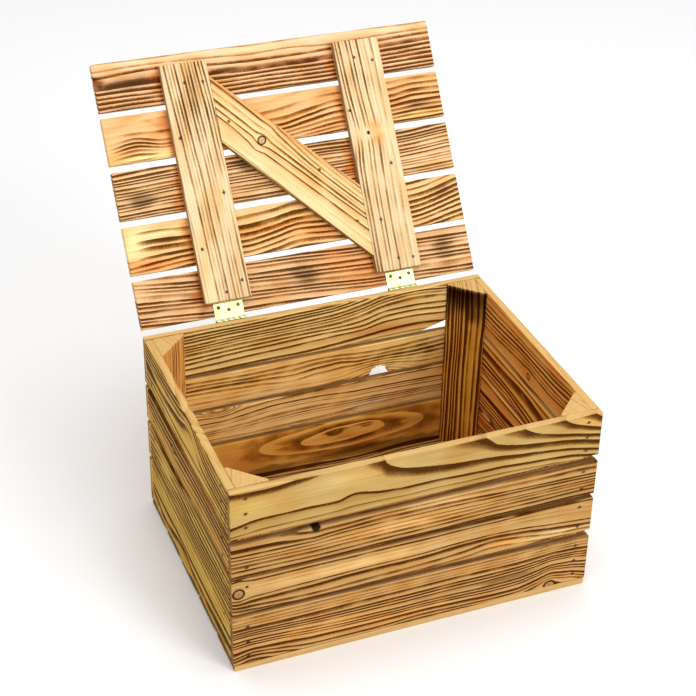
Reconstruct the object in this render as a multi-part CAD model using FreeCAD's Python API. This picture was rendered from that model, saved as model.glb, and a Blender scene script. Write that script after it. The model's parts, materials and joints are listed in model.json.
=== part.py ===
import FreeCAD
import Part
import os

# Slatted softwood storage crate with a hinged slatted lid, in millimetres.
# X runs along the front (right positive), the front faces -Y and +Z is up.
# The origin is the centre of the footprint, on the ground.
# The lid is modelled closed and then swung back to its open stop.

# Overall size of the crate
WIDTH = 480.0
DEPTH = 360.0
HEIGHT = 270.0

# Boards
BOARD = 10.5
FLOOR_BOARD = 9.5
FLOOR_INSET = 1.2
HALF_W = WIDTH / 2
HALF_D = DEPTH / 2
INNER_X = HALF_W - BOARD
INNER_Y = HALF_D - BOARD

# Wall slats from the rim down. Front slats are slightly tapered: each row is
# lower edge left, upper edge left, lower edge right, upper edge right.
FRONT_SLATS = [
    (203.0, 270.0, 206.5, 270.0),
    (143.5, 193.5, 146.5, 197.0),
    (89.0, 141.0, 88.5, 139.5),
    (9.5, 83.5, 9.5, 78.0),
]
# Lower and upper edge of the back and side slats
BACK_SLATS = [(201.0, 270.0), (144.5, 195.5), (85.5, 138.5), (9.5, 79.0)]
LEFT_SLATS = [(205.0, 270.0), (144.5, 195.0), (86.0, 137.0), (9.5, 77.5)]
RIGHT_SLATS = [(204.0, 270.0), (145.0, 195.5), (86.5, 137.5), (9.5, 78.5)]

# Waney lower edge at the right end of the top back slat: (x, z) from the left
WANE = [(150.0, 201.0), (168.0, 206.5), (188.0, 213.0), (HALF_W, 215.0)]

# Fallen-out knot at the lower edge of the second back slat
KNOT_HOLE_X = 90.5
KNOT_HOLE_HALF_WIDTH = 14.0
KNOT_HOLE_RISE = 13.0

# Triangular corner posts, cut from square stock, with blunted tips
POST_LEG = 41.0
POST_TIP = 3.0

# Floor boards run along X: rear and front edge of each, from the back
FLOOR_BOARDS = [
    (180.0, 118.0),
    (107.0, 49.0),
    (41.0, -27.0),
    (-35.0, -101.5),
    (-110.5, -180.0),
]

# Nails: shank and head radius, length, head thickness, depth below the surface
NAIL_R = 0.8
NAIL_HEAD_R = 1.5
NAIL_HEAD = 0.7
NAIL_SINK = 0.8
WALL_NAIL = 28.0
LID_NAIL = 18.0
WALL_NAIL_Z = [259.0, 237.0, 217.0, 184.0, 158.0, 129.0, 98.0, 67.0, 43.0, 21.0]
WALL_NAIL_X = 221.0
SIDE_NAIL_Y = 147.0
FLOOR_NAIL_X = HALF_W - BOARD / 2
FLOOR_NAIL_EDGE = 14.0
FLOOR_NAIL_ROW_X = [-150.0, 0.0, 150.0]
FLOOR_NAIL_ROW_Y = HALF_D - BOARD / 2

# Butt hinges
HINGE_X = [-118.5, 127.3]
LEAF_LENGTH = 40.4
LEAF_REACH = 23.5
LEAF = 1.2
BARREL_R = 2.4
PIN_R = 1.2
PIN_CLEARANCE = 0.06
PIN_HEAD_R = 1.9
PIN_HEAD = 0.8
KNUCKLES = 5
KNUCKLE_GAP = 0.3
BARREL_OFFSET = 0.3
LEAF_REST_GAP = 0.2

# Countersunk cross-head screws: two near the free edge, one nearer the barrel
SCREW_HEAD_R = 2.5
SCREW_R = 1.4
SCREW_LENGTH = 9.0
SCREW_SPOTS = [(-13.5, 18.2), (0.0, 13.8), (13.5, 18.2)]
CROSS_ARM = 1.5
CROSS_WIDTH = 0.55
CROSS_DEPTH = 0.8

# Hinge axis, and the underside of the closed lid
AXIS_Y = HALF_D + BARREL_R + BARREL_OFFSET
LID_UNDER = HEIGHT + LEAF + LEAF_REST_GAP
AXIS_Z = LID_UNDER - BARREL_R
LID_OPEN = 124.0

# Lid boards, by distance from the hinge axis (near edge, far edge)
LID_WIDTH = 476.0
LID_SLATS = [(294.5, 358.5), (224.0, 287.0), (151.0, 215.0), (78.5, 142.5), (6.7, 71.2)]
BATTEN_REACH = (25.5, 343.5)
BATTENS = {"left": (-150.5, -86.5), "right": (93.0, 158.0)}
BRACE_LEFT = (232.6, 321.5)
BRACE_RIGHT = (49.0, 146.5)

# Nails through the battens and the brace: x, distance from the hinge axis
LID_NAILS = [
    (-121.2, 316.7), (-96.5, 315.3), (-141.0, 245.4), (-97.1, 166.5),
    (-140.8, 97.0), (-95.5, 48.5), (-119.3, 36.5), (119.2, 319.5),
    (144.6, 312.6), (98.5, 248.6), (143.3, 169.9), (112.8, 96.2),
    (127.2, 40.5), (148.5, 39.0), (-71.9, 258.2), (39.7, 176.2), (79.1, 99.6),
]

X_AXIS = FreeCAD.Vector(1, 0, 0)
Y_AXIS = FreeCAD.Vector(0, 1, 0)
Z_AXIS = FreeCAD.Vector(0, 0, 1)
HINGE_POINT = FreeCAD.Vector(0, AXIS_Y, AXIS_Z)


def vec(x, y, z):
    return FreeCAD.Vector(x, y, z)


def block(x0, x1, y0, y1, z0, z1):
    """Rectangular solid between two opposite corners."""
    return Part.makeBox(x1 - x0, y1 - y0, z1 - z0, vec(x0, y0, z0))


def prism(points, along):
    """Flat polygon pushed along a vector."""
    return Part.Face(Part.makePolygon(points + points[:1])).extrude(along)


def fuse(shapes):
    """One clean solid from overlapping shapes."""
    return shapes[0].multiFuse(shapes[1:]).removeSplitter()


def wall_board(points, y):
    """Board in an XZ plane whose front face lies at y."""
    return prism([vec(x, y, z) for x, z in points], Y_AXIS * BOARD)


def straight(lower, upper):
    """Outline of a parallel board across the whole width."""
    return [(-HALF_W, lower), (HALF_W, lower), (HALF_W, upper), (-HALF_W, upper)]


def post(side_x, side_y):
    """Triangular post in the corner on side_x (+1 right) and side_y (+1 back)."""
    corner_x = side_x * INNER_X
    corner_y = side_y * INNER_Y
    outline = [
        (0, 0),
        (POST_LEG, 0),
        (POST_LEG, POST_TIP),
        (POST_TIP, POST_LEG),
        (0, POST_LEG),
    ]
    points = [
        vec(corner_x - side_x * a, corner_y - side_y * b, FLOOR_BOARD) for a, b in outline
    ]
    return prism(points, Z_AXIS * (HEIGHT - FLOOR_BOARD))


def nail(spot, direction, length):
    """Flat-headed nail set below the face at spot, with its bore in the wood."""
    top = spot + direction * NAIL_SINK
    head = Part.makeCylinder(NAIL_HEAD_R, NAIL_HEAD, top, direction)
    shank = Part.makeCylinder(NAIL_R, length - 2 * NAIL_R, top, direction)
    tip_at = top + direction * (length - 2 * NAIL_R)
    tip = Part.makeCone(NAIL_R, 0.1, 2 * NAIL_R, tip_at, direction)
    body = fuse([head, shank, tip])
    dent = Part.makeCylinder(NAIL_HEAD_R, NAIL_SINK, spot, direction)
    return body, fuse([body, dent])


def screw(spot, direction):
    """Countersunk screw flush with the leaf at spot, driven along direction."""
    head_depth = SCREW_HEAD_R - SCREW_R
    head = Part.makeCone(SCREW_HEAD_R, SCREW_R, head_depth, spot, direction)
    shank_at = spot + direction * head_depth
    shank_length = SCREW_LENGTH - head_depth - 2 * SCREW_R
    shank = Part.makeCylinder(SCREW_R, shank_length, shank_at, direction)
    tip_at = shank_at + direction * shank_length
    tip = Part.makeCone(SCREW_R, 0.1, 2 * SCREW_R, tip_at, direction)
    plain = fuse([head, shank, tip])
    across = direction.cross(X_AXIS)
    slots = []
    for arm, width in ((X_AXIS, across), (across, X_AXIS)):
        corners = [
            spot + arm * (CROSS_ARM * a) + width * (CROSS_WIDTH / 2 * b)
            for a, b in ((-1, -1), (1, -1), (1, 1), (-1, 1))
        ]
        slots.append(prism(corners, direction * CROSS_DEPTH))
    return plain.cut(fuse(slots)), plain


def knuckle_spans(first):
    """X ranges of every second knuckle, starting with knuckle number first."""
    pitch = LEAF_LENGTH / KNUCKLES
    spans = []
    for number in range(first, KNUCKLES, 2):
        start = -LEAF_LENGTH / 2 + number * pitch
        stop = start + pitch
        if number > 0:
            start += KNUCKLE_GAP / 2
        if number < KNUCKLES - 1:
            stop -= KNUCKLE_GAP / 2
        spans.append((start, stop))
    return spans


def leaf(centre_x, own_first, bore_r, on_lid):
    """Stamped leaf with curled knuckles, lying on the lid or on the back wall."""
    half = LEAF_LENGTH / 2
    own = knuckle_spans(own_first)
    other = knuckle_spans(1 - own_first)
    relief = BARREL_R + 0.5
    if on_lid:
        plate = block(-half, half, AXIS_Y - LEAF_REACH, AXIS_Y, LID_UNDER - LEAF, LID_UNDER)
    else:
        plate = block(-half, half, HALF_D, HALF_D + LEAF, AXIS_Z - LEAF_REACH, AXIS_Z)
    centre = vec(0, AXIS_Y, AXIS_Z)
    for start, stop in other:
        notch_from = start - KNUCKLE_GAP if start > -half else start - 1
        notch_to = stop + KNUCKLE_GAP if stop < half else stop + 1
        notch = Part.makeCylinder(
            relief, notch_to - notch_from, centre + X_AXIS * notch_from, X_AXIS
        )
        above = block(notch_from, notch_to, AXIS_Y - relief, AXIS_Y + relief,
                      AXIS_Z, AXIS_Z + relief)
        plate = plate.cut(notch)
        if not on_lid:
            plate = plate.cut(above)
    solids = [plate]
    for start, stop in own:
        solids.append(Part.makeCylinder(BARREL_R, stop - start, centre + X_AXIS * start, X_AXIS))
    whole = fuse(solids)
    whole = whole.cut(
        Part.makeCylinder(bore_r, LEAF_LENGTH + 2, centre - X_AXIS * (half + 1), X_AXIS)
    )
    whole.translate(X_AXIS * centre_x)
    return whole


def hinge_pin(centre_x):
    """Pin with a small domed head at each end."""
    start = vec(centre_x - LEAF_LENGTH / 2, AXIS_Y, AXIS_Z)
    shank = Part.makeCylinder(PIN_R, LEAF_LENGTH, start, X_AXIS)
    left = Part.makeCone(PIN_HEAD_R, PIN_R, PIN_HEAD, start, X_AXIS * -1)
    right = Part.makeCone(PIN_HEAD_R, PIN_R, PIN_HEAD, start + X_AXIS * LEAF_LENGTH, X_AXIS)
    return fuse([shank, left, right])


def lid_board(points, top):
    """Closed-lid board from (x, distance from axis) points, one board thick."""
    outline = [vec(x, AXIS_Y - reach, top - BOARD) for x, reach in points]
    return prism(outline, Z_AXIS * BOARD)


# Crate boards
crate = {}
for number, (low_l, high_l, low_r, high_r) in enumerate(FRONT_SLATS, 1):
    outline = [(-HALF_W, low_l), (HALF_W, low_r), (HALF_W, high_r), (-HALF_W, high_l)]
    crate[f"front_slat_{number}"] = wall_board(outline, -HALF_D)
for number, (lower, upper) in enumerate(BACK_SLATS, 1):
    outline = straight(lower, upper)
    if number == 1:
        outline = [(-HALF_W, lower)] + WANE + [(HALF_W, upper), (-HALF_W, upper)]
    board = wall_board(outline, INNER_Y)
    if number == 2:
        centre = vec(KNOT_HOLE_X, INNER_Y - 1, lower)
        rim = Part.Ellipse(
            centre + X_AXIS * KNOT_HOLE_HALF_WIDTH, centre + Z_AXIS * KNOT_HOLE_RISE, centre
        )
        hole = Part.Face(Part.Wire(rim.toShape())).extrude(Y_AXIS * (BOARD + 2))
        board = board.cut(hole)
    crate[f"back_slat_{number}"] = board
for number, (lower, upper) in enumerate(LEFT_SLATS, 1):
    crate[f"left_slat_{number}"] = block(-HALF_W, -INNER_X, -INNER_Y, INNER_Y, lower, upper)
for number, (lower, upper) in enumerate(RIGHT_SLATS, 1):
    crate[f"right_slat_{number}"] = block(INNER_X, HALF_W, -INNER_Y, INNER_Y, lower, upper)
for name, side_x, side_y in (
    ("front_left", -1, -1),
    ("front_right", 1, -1),
    ("back_left", -1, 1),
    ("back_right", 1, 1),
):
    crate[f"corner_post_{name}"] = post(side_x, side_y)
for number, (rear, front) in enumerate(FLOOR_BOARDS, 1):
    crate[f"floor_board_{number}"] = block(
        -HALF_W + FLOOR_INSET, HALF_W - FLOOR_INSET, front, rear, 0, FLOOR_BOARD
    )

# Nail positions in the crate: spot on the outer face and driving direction
nail_spots = {"front": [], "back": [], "left": [], "right": [], "floor": []}
for z in WALL_NAIL_Z:
    for side in (-1, 1):
        nail_spots["front"].append((vec(side * WALL_NAIL_X, -HALF_D, z), Y_AXIS))
        nail_spots["back"].append((vec(side * WALL_NAIL_X, HALF_D, z), Y_AXIS * -1))
        nail_spots["left"].append((vec(-HALF_W, side * SIDE_NAIL_Y, z), X_AXIS))
        nail_spots["right"].append((vec(HALF_W, side * SIDE_NAIL_Y, z), X_AXIS * -1))
for rear, front in FLOOR_BOARDS:
    for side in (-1, 1):
        for y in (rear - FLOOR_NAIL_EDGE, front + FLOOR_NAIL_EDGE):
            nail_spots["floor"].append((vec(side * FLOOR_NAIL_X, y, 0), Z_AXIS))
for x in FLOOR_NAIL_ROW_X:
    for side in (-1, 1):
        nail_spots["floor"].append((vec(x, side * FLOOR_NAIL_ROW_Y, 0), Z_AXIS))

crate_bores = []
for group, spots in nail_spots.items():
    made = [nail(spot, direction, WALL_NAIL) for spot, direction in spots]
    label = "floor_nails" if group == "floor" else f"wall_nails_{group}"
    crate[label] = Part.makeCompound([body for body, bore in made])
    crate_bores += [bore for body, bore in made]

# Lid boards, closed
lid = {}
half = LID_WIDTH / 2
for number, (near, far) in enumerate(LID_SLATS, 1):
    outline = [(-half, near), (half, near), (half, far), (-half, far)]
    lid[f"lid_slat_{number}"] = lid_board(outline, LID_UNDER + BOARD)
near, far = BATTEN_REACH
for side, (x0, x1) in BATTENS.items():
    lid[f"lid_batten_{side}"] = lid_board([(x0, near), (x1, near), (x1, far), (x0, far)], LID_UNDER)
brace_x0 = BATTENS["left"][1]
brace_x1 = BATTENS["right"][0]
lid["lid_brace"] = lid_board(
    [
        (brace_x0, BRACE_LEFT[0]),
        (brace_x0, BRACE_LEFT[1]),
        (brace_x1, BRACE_RIGHT[1]),
        (brace_x1, BRACE_RIGHT[0]),
    ],
    LID_UNDER,
)
lid_made = [
    nail(vec(x, AXIS_Y - reach, LID_UNDER - BOARD), Z_AXIS, LID_NAIL) for x, reach in LID_NAILS
]
lid["lid_nails"] = Part.makeCompound([body for body, bore in lid_made])
lid_bores = [bore for body, bore in lid_made]

# Hinges: the crate leaf carries three knuckles and the pin, the lid leaf two
crate_screws = []
lid_screws = []
for side, centre_x in zip(("left", "right"), HINGE_X):
    fixed_leaf = leaf(centre_x, 0, PIN_R, False)
    moving_leaf = leaf(centre_x, 1, PIN_R + PIN_CLEARANCE, True)
    for along, reach in SCREW_SPOTS:
        fixed, fixed_plain = screw(
            vec(centre_x + along, HALF_D + LEAF, AXIS_Z - reach), Y_AXIS * -1
        )
        moving, moving_plain = screw(
            vec(centre_x + along, AXIS_Y - reach, LID_UNDER - LEAF), Z_AXIS
        )
        fixed_leaf = fixed_leaf.cut(fixed_plain)
        moving_leaf = moving_leaf.cut(moving_plain)
        crate_screws.append(fixed)
        lid_screws.append(moving)
        crate_bores.append(fixed_plain)
        lid_bores.append(moving_plain)
    crate[f"hinge_{side}_crate_leaf"] = fixed_leaf
    crate[f"hinge_{side}_pin"] = hinge_pin(centre_x)
    lid[f"hinge_{side}_lid_leaf"] = moving_leaf
crate["hinge_crate_screws"] = Part.makeCompound(crate_screws)
lid["hinge_lid_screws"] = Part.makeCompound(lid_screws)


def bored(shape, bores):
    """Board with the bores of every nail and screw that reaches it cut out."""
    hits = [bore for bore in bores if shape.BoundBox.intersect(bore.BoundBox)]
    if not hits:
        return shape
    return shape.cut(hits)


WOODEN = ("slat", "post", "board", "batten", "brace")
os.makedirs("parts", exist_ok=True)
for parts, bores, swing in ((crate, crate_bores, 0.0), (lid, lid_bores, -LID_OPEN)):
    for name, shape in parts.items():
        if any(word in name for word in WOODEN):
            shape = bored(shape, bores)
        if swing:
            shape = shape.copy()
            shape.rotate(HINGE_POINT, X_AXIS, swing)
        if not shape.isValid():
            raise ValueError(f"{name} is not a valid shape")
        shape.exportStep(os.path.join("parts", f"{name}.step"))
        box = shape.BoundBox
        print(f"{name}: {len(shape.Solids)} solid(s), {shape.Volume / 1000:.2f} cm3, "
              f"z {box.ZMin:.1f} to {box.ZMax:.1f}")
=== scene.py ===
import json
import math

import bpy
import numpy as np
from mathutils import Matrix, Vector


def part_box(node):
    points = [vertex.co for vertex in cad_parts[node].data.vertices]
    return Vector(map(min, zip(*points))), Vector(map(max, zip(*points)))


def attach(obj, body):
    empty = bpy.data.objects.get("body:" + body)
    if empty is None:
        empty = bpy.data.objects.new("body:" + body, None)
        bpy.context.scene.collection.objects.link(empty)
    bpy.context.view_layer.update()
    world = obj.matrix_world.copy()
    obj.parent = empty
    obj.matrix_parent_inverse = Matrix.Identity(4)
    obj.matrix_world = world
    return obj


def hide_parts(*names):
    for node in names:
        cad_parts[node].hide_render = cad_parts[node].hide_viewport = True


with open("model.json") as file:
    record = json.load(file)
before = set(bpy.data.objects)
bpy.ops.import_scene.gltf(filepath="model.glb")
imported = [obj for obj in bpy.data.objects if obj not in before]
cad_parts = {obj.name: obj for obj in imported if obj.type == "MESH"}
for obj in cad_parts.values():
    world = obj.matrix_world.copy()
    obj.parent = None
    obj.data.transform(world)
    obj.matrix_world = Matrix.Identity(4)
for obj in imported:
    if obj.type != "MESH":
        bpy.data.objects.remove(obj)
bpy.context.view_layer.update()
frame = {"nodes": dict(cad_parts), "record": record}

MM = 0.001

# ---------------------------------------------------------------- the frame
HINGE = frame["record"]["behaviour"]["joints"][0]
OPEN = math.radians(HINGE["range_deg"][1])
AXIS = np.array(HINGE["pos_m"]) / MM
LID_ALONG = np.array([0.0, -math.cos(OPEN), math.sin(OPEN)])
LID_INWARD = np.array([0.0, -math.sin(OPEN), -math.cos(OPEN)])
X, Y, Z = np.eye(3)
ORIGIN = np.zeros(3)


def node_points(node):
    """A CAD node's vertices at rest, in millimetres."""
    obj = frame["nodes"][node]
    flat = np.empty(len(obj.data.vertices) * 3)
    obj.data.vertices.foreach_get("co", flat)
    world = np.array(obj.matrix_world)
    return (flat.reshape(-1, 3) @ world[:3, :3].T + world[:3, 3]) / MM


# ------------------------------------------------------------- smooth curves
def waves(rng, count, long_mm, short_mm, across_mm):
    """Random plane waves: along-grain length between the two, about across_mm wide."""
    length = rng.uniform(short_mm, long_mm, count)
    across = rng.normal(0.0, 1.0 / across_mm, count)
    return (2 * math.pi / length, 2 * math.pi * across, rng.uniform(0, 2 * math.pi, count))


def ripple(kit, u, v):
    """Sum of plane waves, about -1 to 1."""
    total = np.zeros_like(u)
    for a, b, c in zip(*kit):
        total += np.cos(a * u + b * v + c)
    return total / math.sqrt(2 * len(kit[0]))


def smoothstep(low, high, x):
    t = np.clip((x - low) / (high - low), 0, 1)
    return t * t * (3 - 2 * t)


def curve(at, values, u):
    """Smooth line through the values at the stations, level beyond both ends."""
    at, y = np.array(at, float), np.array(values, float)
    step = np.diff(at)
    rate = np.diff(y) / step
    turn = rate[:-1] * rate[1:]
    slope = np.zeros(len(y))
    slope[1:-1] = np.where(turn > 0, 2 * turn / np.where(turn > 0, rate[:-1] + rate[1:], 1), 0)
    slope[0], slope[-1] = rate[0], rate[-1]
    x = np.clip(u, at[0], at[-1])
    i = np.clip(np.searchsorted(at, x) - 1, 0, len(step) - 1)
    h, t = step[i], (x - at[i]) / step[i]
    return ((2 * t**3 - 3 * t**2 + 1) * y[i] + (t**3 - 2 * t**2 + t) * h * slope[i]
            + (3 * t**2 - 2 * t**3) * y[i + 1] + (t**3 - t**2) * h * slope[i + 1])


def linear(rgb):
    """Linear colour of an 8-bit display colour."""
    c = np.array(rgb, float) / 255.0
    return np.where(c <= 0.04045, c / 12.92, ((c + 0.055) / 1.055) ** 2.4)


# ---------------------------------------------------------------- the grain
RINGS, FIRST_RING = 200, 50          # rings with values of their own, and where ring 0 is
LATE_GAIN, DEPTH_GAIN = 2.1, 1.6     # on a board's late and depth, before its rings differ
NAMED_LATE, NAMED_DEPTH = 1.6, 1.35  # on the values of the rings in special
WARM = np.array([0.95, 0.86, 0.74])  # what the warmer patches multiply the tint by


def spots(patches, u, v):
    """Each soft-edged patch's last value with its strength at u, v."""
    for pu, pv, lu, lv, value in patches:
        yield value, np.exp(-((u - pu) / lu) ** 2 - ((v - pv) / lv) ** 2)


class Grain:
    """Growth rings, knots, scorching and colour of one board's show face.

    u runs along the board and v across it, in mm.
    at: stations along u. lines: {ring number: v of that ring's sharp edge at the stations};
    rings between two lines are spread evenly. late: thickness of the dark late wood, in mm, or
    under 1 as a share of the ring; depth: how dark it is; special: {ring: (late, depth)}.
    knots: (u, v, radius, stretch). dead: (u, v, radius) of black loose knots.
    Patches are (u, v, half length, half width, value): calm weakens the rings, burns scorch,
    stain patches colour, some of them as painted shade or painted light rather than stains, hills raise
    the ring number. rim: how strong the rings are on the cut edges; behind: colour of the far face, where
    it differs.
    """

    def __init__(self, name, at=None, lines=None, late=1.8, depth=0.6, special=None, knots=(),
                 dead=(), calm=(), burns=(), stains=(), hills=(), light=(240, 200, 140),
                 behind=None, wander=0.5, uneven=0.0, lean=0.5, scorch=0.1, rim=0.45, mid=0.0,
                 pitch=5.5):
        self.rng = rng = np.random.default_rng(sum(ord(c) * (i + 7) for i, c in enumerate(name)))
        if lines is None:
            at, lines = self.from_log(mid, pitch)
        self.at, self.lines = at, lines
        self.knots, self.dead, self.calm, self.burns = knots, dead, calm, burns
        self.stains, self.hills, self.light, self.behind = stains, hills, light, behind
        self.wander, self.lean, self.scorch, self.rim = wander, lean, scorch, rim
        self.uneven, self.beat = uneven, rng.uniform(0, 6, 2)
        self.late = LATE_GAIN * late * rng.uniform(0.6, 1.5, RINGS)
        self.depth = DEPTH_GAIN * depth * rng.uniform(0.35, 1.45, RINGS)
        for ring, (thick, dark) in (special or {}).items():
            self.late[ring + FIRST_RING] = thick if thick < 1 else NAMED_LATE * thick
            self.depth[ring + FIRST_RING] = NAMED_DEPTH * dark
        self.offset = rng.uniform(-5, 5, 3)
        self.broad = waves(rng, 4, 190, 90, 70)
        self.patch = waves(rng, 7, 190, 45, 45)
        self.small = waves(rng, 7, 70, 25, 28)
        self.edge = waves(rng, 6, 90, 18, 60)

    def from_log(self, mid, pitch):
        """Plain-sawn rings for a board whose face is not described line by line."""
        half_face = 46
        at = np.linspace(-250, 350, 7)
        drift = np.cumsum(self.rng.normal(0, 3.0, len(at)))
        swell = np.clip(1 + 0.14 * np.cumsum(self.rng.normal(0, 0.5, len(at))), 0.7, 1.5)
        lines, v = {}, 0.0
        while v < 2 * half_face + 3:
            lines[len(lines)] = mid - half_face + drift + v * swell
            v += pitch * self.rng.uniform(0.55, 1.7)
        return at, lines

    def flow(self, u, v):
        """Grain bends round each knot: v as the rings would have run without it."""
        for ku, kv, radius, stretch in self.knots:
            du = (u - ku) / (radius * stretch * 1.7)
            dv = v - kv
            push = radius * np.exp(-du ** 2) * np.exp(-np.abs(dv) / (2.6 * radius))
            v = v - np.tanh(dv / (0.35 * radius)) * push * 0.92
        return v

    def phase(self, u, v):
        """Ring number, whole at each ring's sharp edge."""
        index = list(self.lines)
        level = [curve(self.at, values, u) for values in self.lines.values()]
        total = index[0] + np.minimum(
            0, (v - level[0]) / (level[1] - level[0]) * (index[1] - index[0]))
        for k in range(len(index) - 1):
            part = np.clip((v - level[k]) / (level[k + 1] - level[k]), 0, 1)
            total = total + part * (index[k + 1] - index[k])
        total = total + np.maximum(
            0, (v - level[-1]) / (level[-1] - level[-2]) * (index[-1] - index[-2]))
        for value, strength in spots(self.hills, u, v):
            total = total + value * strength
        total = total + self.uneven * (np.sin(1.9 * total + self.beat[0])
                                       + 0.7 * np.sin(0.83 * total + self.beat[1] + u / 90))
        return total

    def late_wood(self, ring, per_mm):
        """Where in its ring the late wood starts, and its depth of colour."""
        number = np.ceil(ring)
        early = smoothstep(0.0, 0.4, ring - number + 1)
        this = np.clip(number.astype(int) + FIRST_RING, 1, RINGS - 1)
        share = [np.where(late < 1, late, late * per_mm)
                 for late in (self.late[this - 1], self.late[this])]
        start = np.clip(1 - share[0] * (1 - early) - share[1] * early, 0.04, 0.9)
        return start, self.depth[this - 1] * (1 - early) + self.depth[this] * early

    def colour(self, u, v, w, shift, shown):
        """Tint of the early wood, linear."""
        tint = np.tile(linear(self.light), (len(u), 1))
        for colour, strength in spots(self.stains, u + shift, v):
            strength = (strength * shown)[:, None]
            tint = tint * (1 - strength) + linear(colour) * strength
        if self.behind is not None:
            far = 0.65 * smoothstep(5.5, 8.5, w)[:, None]
            tint = tint * (1 - far) + linear(self.behind) * far
        warm = np.clip(0.35 + ripple(self.patch, u + 300, v), 0, 1.4)[:, None]
        return np.clip(tint * WARM ** warm, 0, 1)

    def attributes(self, u, v, w):
        """What the wood shader reads at each vertex; w is the depth below the show face."""
        wandered = self.flow(u, v) + self.wander * ripple(self.broad, u, v) - self.lean * w
        ring = self.phase(u, wandered)
        per_mm = np.hypot(self.phase(u, wandered + 0.5) - self.phase(u, wandered - 0.5),
                          (self.phase(u + 2, wandered) - self.phase(u - 2, wandered)) / 4)
        start, depth = self.late_wood(ring, per_mm)
        depth = depth * (1 + 0.22 * ripple(self.small, u, v) + 0.2 * ripple(self.patch, u, v))
        for value, strength in spots(self.calm, u, v):
            depth = depth * (1 - value * strength)
        shift = 5 * ripple(self.small, u, v)
        shown = np.clip(1.6 - w / 6, 0, 1)
        burn = self.scorch + 0.10 * ripple(self.patch, u, v)
        for value, strength in spots(self.burns, u + shift, v + 0.3 * shift):
            burn = burn + value * strength * shown
        knot = np.full_like(u, -1.0)
        for ku, kv, radius, stretch in self.knots:
            rho = np.hypot((u - ku) / (radius * stretch), (v - kv) / radius)
            knot = np.maximum(knot, 1 - rho)
        return {
            "grain": np.stack([ring, np.clip(depth, 0, 1.2), knot], 1),
            "band": np.stack([start, np.clip(burn, 0, 1.3), per_mm], 1),
            "local": np.stack([u, v, w], 1) * MM + self.offset,
            "tint": self.colour(u, v, w, shift, shown),
        }


# --------------------------------------------------------------- materials
class Nodes:
    """A new material, with short calls that make and join its shader nodes."""

    def __init__(self, name):
        self.material = bpy.data.materials.new(name)
        self.material.use_nodes = True
        self.tree = self.material.node_tree
        self.tree.nodes.clear()

    def node(self, kind, **values):
        made = self.tree.nodes.new(kind)
        for key, value in values.items():
            setattr(made, key, value)
        return made

    def feed(self, socket, value):
        if isinstance(value, bpy.types.NodeSocket):
            self.tree.links.new(value, socket)
        else:
            socket.default_value = value

    def maths(self, operation, a, b=0.0, c=0.0, clamp=False):
        made = self.node("ShaderNodeMath", operation=operation, use_clamp=clamp)
        for socket, value in zip(made.inputs, (a, b, c)):
            self.feed(socket, value)
        return made.outputs[0]

    def times(self, a, b):
        return self.maths("MULTIPLY", a, b)

    def sway(self, noise, gain, base=0.0):
        """A noise that swings either side of base."""
        return self.maths("MULTIPLY_ADD", self.maths("SUBTRACT", noise, 0.5), gain, base)

    def smooth(self, value, low, high, out_low=0.0, out_high=1.0, kind="SMOOTHSTEP"):
        made = self.node("ShaderNodeMapRange", interpolation_type=kind)
        for socket, given in zip(made.inputs, (value, low, high, out_low, out_high)):
            self.feed(socket, given)
        return made.outputs["Result"]

    def mix(self, factor, a, b, blend="MIX"):
        made = self.node("ShaderNodeMix", data_type="RGBA", blend_type=blend, clamp_factor=True)
        for socket, value in ((made.inputs["Factor"], factor), (made.inputs[6], a),
                              (made.inputs[7], b)):
            self.feed(socket, value)
        return made.outputs[2]

    def attribute(self, name, output="Vector"):
        return self.node("ShaderNodeAttribute", attribute_name=name).outputs[output]

    def parts(self, vector):
        made = self.node("ShaderNodeSeparateXYZ")
        self.feed(made.inputs[0], vector)
        return made.outputs

    def noise(self, where, scale, detail, roughness=0.55):
        """Noise whose scale differs along X, Y and Z."""
        stretch = self.node("ShaderNodeVectorMath", operation="MULTIPLY")
        self.feed(stretch.inputs[0], where)
        stretch.inputs[1].default_value = scale
        made = self.node("ShaderNodeTexNoise", noise_dimensions="3D")
        self.feed(made.inputs["Vector"], stretch.outputs[0])
        made.inputs["Scale"].default_value = 1.0
        made.inputs["Detail"].default_value = detail
        made.inputs["Roughness"].default_value = roughness
        return made.outputs["Fac"]

    def surface(self, colour, rough, height, strength, distance, **own):
        """The finished material, with relief from height and the shader's own values."""
        bump = self.node("ShaderNodeBump")
        bump.inputs["Strength"].default_value = strength
        bump.inputs["Distance"].default_value = distance
        self.feed(bump.inputs["Height"], height)
        shader = self.node("ShaderNodeBsdfPrincipled")
        sockets = {"Base Color": colour, "Roughness": rough, "Normal": bump.outputs[0]}
        for name, value in sockets.items():
            self.feed(shader.inputs[name], value)
        for name, value in own.items():
            shader.inputs[name.replace("_", " ")].default_value = value
        out = self.node("ShaderNodeOutputMaterial")
        self.feed(out.inputs["Surface"], shader.outputs[0])
        return self.material


def rgb(*levels):
    return (*linear(levels), 1.0)


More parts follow.
